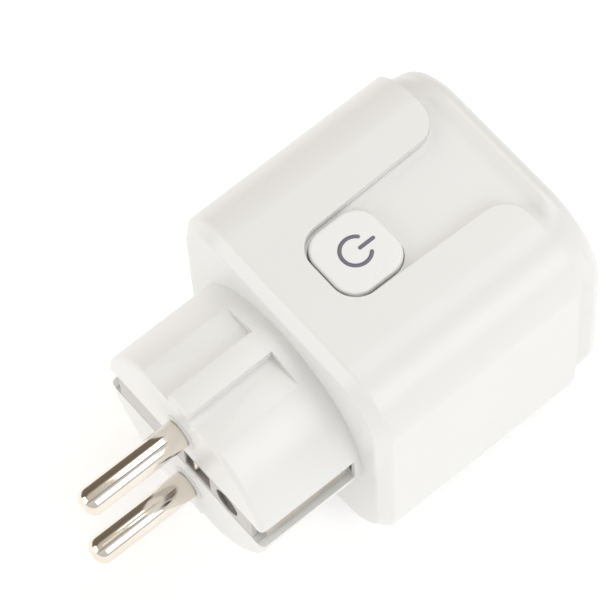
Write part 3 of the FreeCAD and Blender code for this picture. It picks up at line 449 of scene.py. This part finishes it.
def makeRearHousing():
    low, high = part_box("rear_housing")
    halfWide, halfTall, shellEnd = high[0], high[2], -low[1]
    back, inner = shellShape["back"], shellShape["back"] + shellShape["backWall"]
    wall = shellShape["wall"]
    corner, bevel = shellShape["corner"], shellShape["bevel"]
    outside = softPath([
        station(back - 0.02 * mm, 4 * mm, corner - 4 * mm), station(back, bevel, corner - bevel),
        station(back + bevel, 0, corner), station(shellEnd - 2 * mm, 0, corner)], shellShape["bevelSoft"])
    outside.append(station(shellEnd, 0, corner))
    shell = loftBody("rearHousing", outside, halfWide, halfTall)
    nose = drum(noseShape["radius"], (0, back + 0.9 * mm))
    bevelEdges(nose, lambda point: abs(point.y) < 1e-6, noseShape["round"], 5)
    weld(shell, nose)
    beyond = noseShape["radius"] + 2 * mm
    for side in (-1, 1):
        for edge in (-1, 1):
            across = sorted((side * noseShape["rib"], side * noseShape["flatHalf"]))
            up = sorted((edge * noseShape["flat"], edge * beyond))
            cutAway(shell, block(across, (-1 * mm, noseShape["flatLong"]), up))
        across = sorted((side * noseShape["slotFloor"], side * beyond))
        half = noseShape["slotHalf"]
        cutAway(shell, block(across, (-1 * mm, noseShape["slotLong"]), (-half, half)))
        tail = sorted((side * (noseShape["slotFloor"] + 0.2 * mm), side * (noseShape["slotFloor"] + 1.4 * mm)))
        cutAway(shell, block(tail, (noseShape["slotLong"] - 1 * mm, inner + 0.2 * mm), (-2.1 * mm, 2.1 * mm)))
        up = side * noseShape["pinHalfPitch"]
        weld(shell, drum(noseShape["collar"], (-noseShape["proud"], 0.2 * mm), up=up, steps=64))
        cutAway(shell, drum(noseShape["pinHole"], (-1 * mm, noseShape["wall"] + 1 * mm), up=up, steps=64))
    half, tall = noseShape["channelHalf"], noseShape["channelTall"]
    cutAway(shell, block((-half, half), (-1 * mm, noseShape["channelDeep"]), (-tall, tall)))
    cutAway(shell, drum(noseShape["earthWay"], (-1 * mm, noseShape["wall"] + 1 * mm), across=noseShape["earthAcross"], steps=64))
    cutAway(shell, panelCutter(shellEnd, halfTall))
    bevelEdges(
        shell, lambda point: abs(point.z - halfTall) < 1e-6 and abs(point.x) < 13 * mm, panelShape["edge"], 5)
    easeEdges(shell, shellShape["ease"])
    hollow = [station(depth, wall, corner - wall) for depth in (inner, shellEnd + 1 * mm)]
    cutAway(shell, loftBody("shellHollow", hollow, halfWide, halfTall))
    cutAway(shell, drum(noseShape["hollow"], (noseShape["wall"], inner + 0.2 * mm)))
    smoothFaces(shell)
    finishPiece(shell, "rearHousingMoulding", "meter", finishes["casing"], ["rear_housing"])
    print("rear housing made")


makeRearHousing()


# ---- front housing: sleeve, neck, rim and outlet cup

frontShape = {
    "neck": 1.5 * mm, "sleeveWall": 1.4 * mm, "neckEnd": 60.0 * mm, "rimStart": 62.2 * mm, "rim": 0.9 * mm,
    "rimCorner": 12.6 * mm, "round": 2.4 * mm, "frontWall": 2.6 * mm, "cup": 21.25 * mm, "recess": 19.75 * mm, "recessDeep": 17.5 * mm,
    "floor": 1.8 * mm, "hole": 2.65 * mm, "ease": 0.2 * mm,
}
buttonShape = {
    "depth": 34.9 * mm, "halfWide": 6.25 * mm, "halfLong": 6.2 * mm, "corner": 4.0 * mm, "gap": 0.15 * mm,
    "edge": 0.55 * mm, "ease": 0.1 * mm,
}


def uprightBlock(halfWide, halfLong, depth, up, corner, steps=10):
    # a block with its four upright edges rounded
    piece = block((-halfWide, halfWide), (depth - halfLong, depth + halfLong), up)
    selectEdges(piece, lambda point: True)
    mesh = bmesh.from_edit_mesh(piece.data)
    for edge in mesh.edges:
        edge.select = abs(edge.verts[0].co.z - edge.verts[1].co.z) > 1e-6
    mesh.select_flush_mode()
    bmesh.update_edit_mesh(piece.data)
    bpy.ops.mesh.bevel(offset=corner, segments=steps, affect="EDGES")
    closeMesh()
    return piece


def makeFrontHousing():
    low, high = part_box("front_housing")
    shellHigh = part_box("rear_housing")[1]
    halfWide, halfTall, corner = shellHigh[0], shellHigh[2], shellShape["corner"]
    face, start = -low[1], -high[1]
    rim, neck = frontShape["rim"], frontShape["neck"]
    rounding = []
    for step in range(9):
        angle = math.radians(90 * step / 8)
        inset = frontShape["round"] * (1 - math.sin(angle))
        rounding.append(station(
            face - frontShape["round"] * (1 - math.cos(angle)), rim + inset, frontShape["rimCorner"] - inset))
    flare = softPath([
        station(frontShape["rimStart"] - 0.1 * mm, rim, frontShape["rimCorner"]),
        station(frontShape["neckEnd"], neck, corner - neck),
        station(frontShape["neckEnd"] - 3 * mm, neck, corner - neck)], 1.2 * mm, 5)
    innerInset = neck + frontShape["sleeveWall"]
    innerEnd = face - frontShape["frontWall"]
    sleeve = [station(start, neck, corner - neck)]
    front = loftBody("frontHousing", rounding + flare + sleeve, halfWide, halfTall)
    hollow = [station(depth, innerInset, corner - innerInset) for depth in (innerEnd, start - 1 * mm)]
    cutAway(front, loftBody("sleeveHollow", hollow, halfWide, halfTall))

    floorDepth = face - frontShape["recessDeep"]
    cupBack = floorDepth - frontShape["floor"]
    weld(front, drum(frontShape["cup"], (cupBack, face - 1 * mm)))
    cutAway(front, drum(frontShape["recess"], (floorDepth, face + 1 * mm), steps=128))
    for side in (-1, 1):
        for edge in (-1, 1):
            guide = block(
                sorted((side * 2.7 * mm, side * 7.4 * mm)), (floorDepth - 0.3 * mm, face - 2 * mm),
                sorted((edge * 17.1 * mm, edge * 20.15 * mm)))
            weld(front, guide)
        window = block(sorted((side * 18.55 * mm, side * 21.1 * mm)), (cupBack - 0.5 * mm, cupBack + 16 * mm), (-3.2 * mm, 3.2 * mm))
        cutAway(front, window)
        hole = drum(frontShape["hole"], (cupBack - 1 * mm, floorDepth + 1 * mm), up=side * noseShape["pinHalfPitch"], steps=64)
        cutAway(front, hole)
    gap = buttonShape["gap"]
    cutAway(front, uprightBlock(
        buttonShape["halfWide"] + gap, buttonShape["halfLong"] + gap, buttonShape["depth"],
        (halfTall - 6 * mm, halfTall + 1 * mm), buttonShape["corner"] + gap))
    easeEdges(front, frontShape["ease"])
    finishPiece(front, "frontHousingMoulding", "meter", finishes["casing"], ["front_housing"])
    print("front housing made")


makeFrontHousing()


# ---- button cap and its symbol

symbolShape = {
    "ring": 2.43 * mm, "stroke": 0.31 * mm, "gap": 42, "near": 0.85 * mm, "far": 3.4 * mm, "deep": 0.4 * mm,
}


def symbolSolid(up, swell=0.0):
    # the ring with a gap, spun from a small upright square, and the bar, both with round ends
    radius, half = symbolShape["ring"], symbolShape["stroke"] + swell
    depth = buttonShape["depth"]
    height = (up[0] + up[1]) / 2
    deselectAll()
    turn = math.radians(360 - 2 * symbolShape["gap"])
    start = math.radians(-90 + symbolShape["gap"])
    place = Vector((radius * math.cos(start), radius * math.sin(start) - depth, height))
    bpy.ops.mesh.primitive_plane_add(size=1, location=place, rotation=(math.radians(90), 0, start))
    ring = bpy.context.object
    ring.scale = (2 * half, up[1] - up[0], 1)
    settle(ring)
    openMesh(ring, "FACE")
    bpy.ops.mesh.select_all(action="SELECT")
    bpy.ops.mesh.spin(steps=56, angle=-turn, center=(0, -depth, 0), axis=(0, 0, 1))
    bpy.ops.mesh.select_all(action="SELECT")
    bpy.ops.mesh.normals_make_consistent(inside=False)
    closeMesh()
    pieces = [block((-half, half), (depth + symbolShape["near"], depth + symbolShape["far"]), up)]
    for distance in (symbolShape["near"], symbolShape["far"]):
        pieces.append(post(half, up, depth=depth + distance, steps=24))
    for angle in (start, start + turn):
        pieces.append(post(half, up, across=radius * math.cos(angle), depth=depth - radius * math.sin(angle), steps=24))
    weld(ring, *pieces)
    return ring


def makeButton():
    low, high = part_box("button_cap")
    depth, top = buttonShape["depth"], high[2]
    cap = uprightBlock(buttonShape["halfWide"], buttonShape["halfLong"], depth, (low[2] + 0.9 * mm, top), buttonShape["corner"], 14)
    bevelEdges(cap, lambda point: abs(point.z - top) < 1e-6, buttonShape["edge"], 5)
    flange = uprightBlock(high[0], (high[1] - low[1]) / 2, depth, (low[2] + 0.9 * mm, low[2] + 1.8 * mm), buttonShape["corner"] + 0.65 * mm)
    weld(cap, flange)
    chamber = uprightBlock(buttonShape["halfWide"] - 1.2 * mm, buttonShape["halfLong"] - 1.2 * mm, depth, (low[2] - 1 * mm, top - 1.2 * mm), buttonShape["corner"] - 1.2 * mm)
    cutAway(cap, chamber)
    weld(cap, post(1.3 * mm, (low[2], top - 1.0 * mm), depth=depth, steps=32))
    symbolUp = (top - symbolShape["deep"], top + 0.5 * mm)
    cutAway(cap, symbolSolid(symbolUp, 0.02 * mm))
    easeEdges(cap, 0.05 * mm, 2, 50)
    finishPiece(cap, "buttonCapMoulding", "button", finishes["button"], ["button_cap"])
    symbol = symbolSolid((top - symbolShape["deep"] + 0.01 * mm, top + 0.01 * mm))
    easeEdges(symbol, 0.04 * mm, 2, 50)
    finishPiece(symbol, "powerSymbolInlay", "button", finishes["symbol"], ["power_symbol"])
    print("button made")


makeButton()


# ---- plug pins

pinShape = {
    "radius": 2.4 * mm, "dome": 1.95 * mm, "start": 0.5 * mm, "neck": 2.1 * mm, "shoulder": 7.0 * mm, "tail": 1.3 * mm,
}


def makePin(node, name):
    low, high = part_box(node)
    up = (low[2] + high[2]) / 2
    pin = drum(pinShape["radius"], (-high[1], -pinShape["start"]), up=up, steps=128)
    bevelEdges(pin, lambda point: abs(point.y - high[1]) < 1e-6, pinShape["dome"], 12, 0.5)
    bevelEdges(pin, lambda point: abs(point.y - pinShape["start"]) < 1e-6, 0.06 * mm, 2)
    weld(pin, drum(pinShape["neck"], (-pinShape["start"] - 0.5 * mm, pinShape["shoulder"]), up=up, steps=96))
    weld(pin, drum(pinShape["tail"], (pinShape["shoulder"] - 0.5 * mm, -low[1]), up=up, steps=48))
    pick(pin)
    bpy.ops.object.shade_smooth_by_angle(angle=math.radians(35))
    finishPiece(pin, name, "meter", finishes["nickel"], [node])


makePin("upper_pin", "upperPinTurned")
makePin("lower_pin", "lowerPinTurned")
print("pins made")


# ---- plate and earth strap in the plug's face

insertShape = {
    "half": 15.9 * mm, "tall": 3.03 * mm, "front": 0.05 * mm, "back": 0.95 * mm, "hole": 2.5 * mm,
    "window": (-6.0 * mm, 0.1 * mm), "windowTall": 2.3 * mm, "ease": 0.12 * mm,
    "lip": 0.32 * mm, "holeRelief": 3.2 * mm, "windowRelief": (-6.7 * mm, 0.8 * mm), "windowReliefTall": 2.75 * mm,
}
strapShape = {
    "front": 1.65 * mm, "thick": 0.6 * mm, "half": 1.9 * mm, "eye": 3.2 * mm, "hole": 2.6 * mm,
    "humpMiddle": -1.75 * mm, "humpReach": 1.55 * mm, "humpFront": 0.3 * mm, "humpSteps": 14,
}


def makeFaceInsert():
    half, tall = insertShape["half"], insertShape["tall"]
    windowTall = insertShape["windowTall"]
    plate = block((-half, half), (insertShape["front"], insertShape["back"]), (-tall, tall))
    cutAway(plate, drum(insertShape["hole"], (-1 * mm, 3 * mm), across=noseShape["earthAcross"], steps=64))
    cutAway(plate, block(insertShape["window"], (-1 * mm, 3 * mm), (-windowTall, windowTall)))
    under = insertShape["front"] + insertShape["lip"]
    cutAway(plate, drum(insertShape["holeRelief"], (under, 3 * mm), across=noseShape["earthAcross"], steps=64))
    reliefTall = insertShape["windowReliefTall"]
    cutAway(plate, block(insertShape["windowRelief"], (under, 3 * mm), (-reliefTall, reliefTall)))
    easeEdges(plate, insertShape["ease"], 3, 40)
    finishPiece(plate, "faceInsertPlate", "meter", finishes["insert"], ["face_insert"])


def makePlugStrap():
    # a flat strip bent down both flanks, with a rounded hump where the plate's window shows it
    low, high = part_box("plug_earth_bracket")
    half, thick, front = strapShape["half"], strapShape["thick"], strapShape["front"]
    middle, reach = strapShape["humpMiddle"], strapShape["humpReach"]
    strap = block((low[0], middle - reach), (front, front + thick), (-half, half))
    steps = strapShape["humpSteps"]
    for step in range(1, steps + 1):
        share = step / steps
        lift = (front - strapShape["humpFront"]) * 0.5 * (1 - math.cos(2 * math.pi * share))
        stretchEnd(strap, middle + reach * (2 * share - 1), -(front - lift), thick)
    stretchEnd(strap, high[0], -front, thick)
    for side in (-1, 1):
        across = sorted((side * high[0], side * (high[0] - thick)))
        weld(strap, block(across, (front, -low[1]), (-half, half)))
    weld(strap, drum(strapShape["eye"], (front, front + thick), across=noseShape["earthAcross"], steps=64))
    cutAway(strap, drum(strapShape["hole"], (front - 1 * mm, front + 2 * mm), across=noseShape["earthAcross"], steps=64))
    easeEdges(strap, 0.15 * mm, 3, 40)
    finishPiece(strap, "plugEarthStrap", "meter", finishes["nickel"], ["plug_earth_bracket"])


def stretchEnd(strap, across, frontY, thick):
    # extrude the strip's far end face on to a new place, keeping its thickness
    reach = max(corner.co.x for corner in strap.data.vertices)
    selectFaces(strap, lambda face: abs(face.calc_center_median().x - reach) < 1e-6 and abs(face.normal.x) > 0.5)
    bpy.ops.mesh.extrude_region_move(TRANSFORM_OT_translate={"value": (across - reach, 0, 0)})
    mesh = bmesh.from_edit_mesh(strap.data)
    end = [corner.co.y for corner in mesh.verts if corner.select]
    bpy.ops.transform.translate(value=(0, frontY - max(end), 0))
    closeMesh()


makeFaceInsert()
makePlugStrap()
print("plug face made")


# ---- finishes of the pieces that keep their solid's shape

def paint(finish, *nodes):
    for node in nodes:
        part = frame["nodes"][node]
        part.data.materials.clear()
        part.data.materials.append(finish)


slotFinishes = {
    "casing_plastic": finishes["casing"],
    "button_plastic": finishes["button"],
    "symbol_plastic": finishes["symbol"],
    "insert_plastic": finishes["insert"],
    "nickel": finishes["nickel"],
    "contact_brass": platedMetal("contactBrass", (0.72, 0.53, 0.25), (0.60, 0.42, 0.19), 0.26, (1, 0.1, 1)),
    "spring_steel": platedMetal("springSteel", (0.60, 0.60, 0.61), (0.50, 0.50, 0.51), 0.24),
    "screw_steel": platedMetal("screwSteel", (0.56, 0.57, 0.58), (0.46, 0.47, 0.49), 0.32, (1, 0.3, 1)),
    "thermoset": mouldedPlastic("darkThermoset", (0.042, 0.042, 0.045), (0.055, 0.055, 0.058), 0.5, 0.12),
    "shutter_plastic": mouldedPlastic("shutterPlastic", (0.62, 0.62, 0.60), (0.57, 0.57, 0.55), 0.34),
    "board_laminate": boardLaminate("boardLaminate", (0.025, 0.13, 0.055), (0.035, 0.19, 0.08)),
    "radio_laminate": boardLaminate("radioLaminate", (0.02, 0.03, 0.035), (0.035, 0.045, 0.055)),
    "relay_plastic": mouldedPlastic("relayPlastic", (0.03, 0.06, 0.20), (0.04, 0.075, 0.24), 0.36),
    "coil_copper": woundCopper("coilCopper", (0.62, 0.25, 0.10), (0.40, 0.14, 0.05)),
    "soft_iron": platedMetal("softIron", (0.44, 0.43, 0.42), (0.35, 0.34, 0.33), 0.38, (1, 1, 0.1)),
    "film_box": mouldedPlastic("filmBox", (0.66, 0.47, 0.06), (0.60, 0.42, 0.05), 0.38),
    "can_aluminium": platedMetal("canAluminium", (0.62, 0.63, 0.65), (0.54, 0.55, 0.57), 0.3, (1, 1, 0.02)),
    "ferrite": mouldedPlastic("ferrite", (0.05, 0.048, 0.046), (0.07, 0.067, 0.064), 0.62, 0.3),
    "varistor_coat": mouldedPlastic("varistorCoat", (0.04, 0.10, 0.30), (0.05, 0.12, 0.36), 0.3, 0.2),
    "chip_epoxy": mouldedPlastic("chipEpoxy", (0.025, 0.025, 0.027), (0.035, 0.035, 0.037), 0.55, 0.25),
    "shunt_alloy": platedMetal("shuntAlloy", (0.58, 0.42, 0.30), (0.48, 0.34, 0.24), 0.34, (1, 0.1, 1)),
    "can_tinplate": platedMetal("canTinplate", (0.66, 0.67, 0.68), (0.58, 0.59, 0.60), 0.2, (0.1, 1, 1)),
    "lamp_lens": mouldedPlastic("lampLens", (0.78, 0.80, 0.72), (0.74, 0.76, 0.66), 0.16),
    "diffuser": mouldedPlastic("diffuser", (0.80, 0.82, 0.84), (0.77, 0.79, 0.81), 0.42),
}
for entry in frame["record"]["subparts"]:
    paint(slotFinishes[entry["material_slot"]], entry["node"])
# the earth sleeve gets its own dark brown metal colour in place of its slot's finish
paint(platedMetal("darkBrownSleeve", (0.22, 0.15, 0.09), (0.15, 0.10, 0.06), 0.3), "earth_sleeve")
print("inner finishes made")


# ---- floor, light and camera

stage = {"floorUp": -24.65 * mm, "half": 2.5, "tone": 0.93, "glow": 0.22}
room = {
    "strength": 0.63,
    # shade of the room by direction, turning about the pins' axis from straight down on the left
    "stops": ((0.0, (0.90, 0.90, 0.90)), (0.22, (1.0, 1.0, 1.0)), (0.42, (1.15, 1.15, 1.15)),
              (0.437, (0.30, 0.27, 0.24)), (0.455, (1.0, 0.95, 0.87)), (0.55, (1.0, 0.93, 0.84)),
              (0.60, (0.28, 0.23, 0.18)), (0.78, (0.34, 0.29, 0.24)), (1.0, (0.75, 0.72, 0.68))),
}
camera = {
    "azimuth": -125.6, "elevation": 63.8, "roll": -4.8, "distance": 0.6066, "lens": 236.4,
    "target": (7.3 * mm, -29.2 * mm, 4.1 * mm),
}
lamps = [
    # name, place, size, power, colour, seen in gloss
    ("keySoftbox", (-0.76, -0.19, 0.46), 0.5, 1.85, (1.0, 1.0, 0.99), True),
    ("fillSoftbox", (0.30, 0.85, 0.32), 0.6, 3.0, (1.0, 1.0, 1.0), True),
    ("topSoftbox", (0.05, -0.50, 0.82), 0.6, 2.6, (1.0, 1.0, 1.0), True),
    ("rightFill", (0.85, 0.05, 0.45), 0.6, 2.2, (1.0, 1.0, 1.0), False),
]


def makeFloor():
    deselectAll()
    bpy.ops.mesh.primitive_plane_add(size=2 * stage["half"], location=(0, 0, stage["floorUp"]))
    floor = bpy.context.object
    floor.name = "paleFloor"
    finish = Finish("floorPaper")
    cloud = finish.ramp(finish.noise(3, 2), 0.3, 0.7)
    tone = stage["tone"]
    floor.data.materials.append(finish.set(
        Base_Color=finish.blend(cloud, (tone, tone, tone), (tone + 0.02, tone + 0.02, tone + 0.02)),
        Roughness=0.9, Emission_Color=(1, 1, 1, 1), Emission_Strength=stage["glow"]))


def makeRoom():
    # a soft room whose shade turns about the Y axis: white left, cream above, dark right
    world = bpy.data.worlds.new("softRoom")
    bpy.context.scene.world = world
    world.use_nodes = True
    tree = world.node_tree
    place = tree.nodes.new("ShaderNodeTexCoord")
    parts = tree.nodes.new("ShaderNodeSeparateXYZ")
    turn = tree.nodes.new("ShaderNodeMath")
    turn.operation = "ARCTAN2"
    share = tree.nodes.new("ShaderNodeMapRange")
    share.inputs["From Min"].default_value = -math.pi
    share.inputs["From Max"].default_value = math.pi
    shades = tree.nodes.new("ShaderNodeValToRGB")
    shades.color_ramp.interpolation = "EASE"
    stops = room["stops"]
    while len(shades.color_ramp.elements) < len(stops):
        shades.color_ramp.elements.new(0.5)
    for element, (position, colour) in zip(shades.color_ramp.elements, stops):
        element.position = position
        element.color = (*colour, 1)
    back = tree.nodes["Background"]
    back.inputs["Strength"].default_value = room["strength"]
    plain = tree.nodes.new("ShaderNodeBackground")  # seen past the edge of the floor
    plain.inputs["Color"].default_value = (1, 1, 1, 1)
    ray = tree.nodes.new("ShaderNodeLightPath")
    pickRay = tree.nodes.new("ShaderNodeMixShader")
    tree.links.new(ray.outputs["Is Camera Ray"], pickRay.inputs["Fac"])
    tree.links.new(back.outputs[0], pickRay.inputs[1])
    tree.links.new(plain.outputs[0], pickRay.inputs[2])
    tree.links.new(pickRay.outputs[0], tree.nodes["World Output"].inputs["Surface"])
    tree.links.new(place.outputs["Generated"], parts.inputs["Vector"])
    tree.links.new(parts.outputs["X"], turn.inputs[0])
    tree.links.new(parts.outputs["Z"], turn.inputs[1])
    tree.links.new(turn.outputs[0], share.inputs["Value"])
    tree.links.new(share.outputs[0], shades.inputs[0])
    tree.links.new(shades.outputs[0], back.inputs["Color"])


def makeLamps():
    for name, place, size, power, colour, glossy in lamps:
        bpy.ops.object.light_add(type="AREA", location=place)
        lamp = bpy.context.object
        lamp.name = name
        lamp.data.size = size
        lamp.data.energy = power
        lamp.data.color = colour
        lamp.visible_glossy = glossy
        lamp.rotation_euler = (Vector((0, -0.03, 0)) - Vector(place)).to_track_quat("-Z", "Y").to_euler()


def makeCamera():
    azimuth, elevation = math.radians(camera["azimuth"]), math.radians(camera["elevation"])
    level = math.cos(elevation)
    away = Vector((math.sin(azimuth) * level, -math.cos(azimuth) * level, math.sin(elevation)))
    bpy.ops.object.camera_add(location=Vector(camera["target"]) + away * camera["distance"])
    eye = bpy.context.object
    eye.name = "studioCamera"
    eye.data.lens = camera["lens"]
    eye.data.sensor_width = 36
    eye.data.clip_start = 0.01
    roll = Matrix.Rotation(math.radians(camera["roll"]), 3, "Z")
    eye.rotation_euler = ((-away).to_track_quat("-Z", "Y").to_matrix() @ roll).to_euler()
    bpy.context.scene.camera = eye


makeFloor()
makeRoom()
makeLamps()
makeCamera()
bpy.context.scene.view_settings.view_transform = "Standard"
print("stage made")
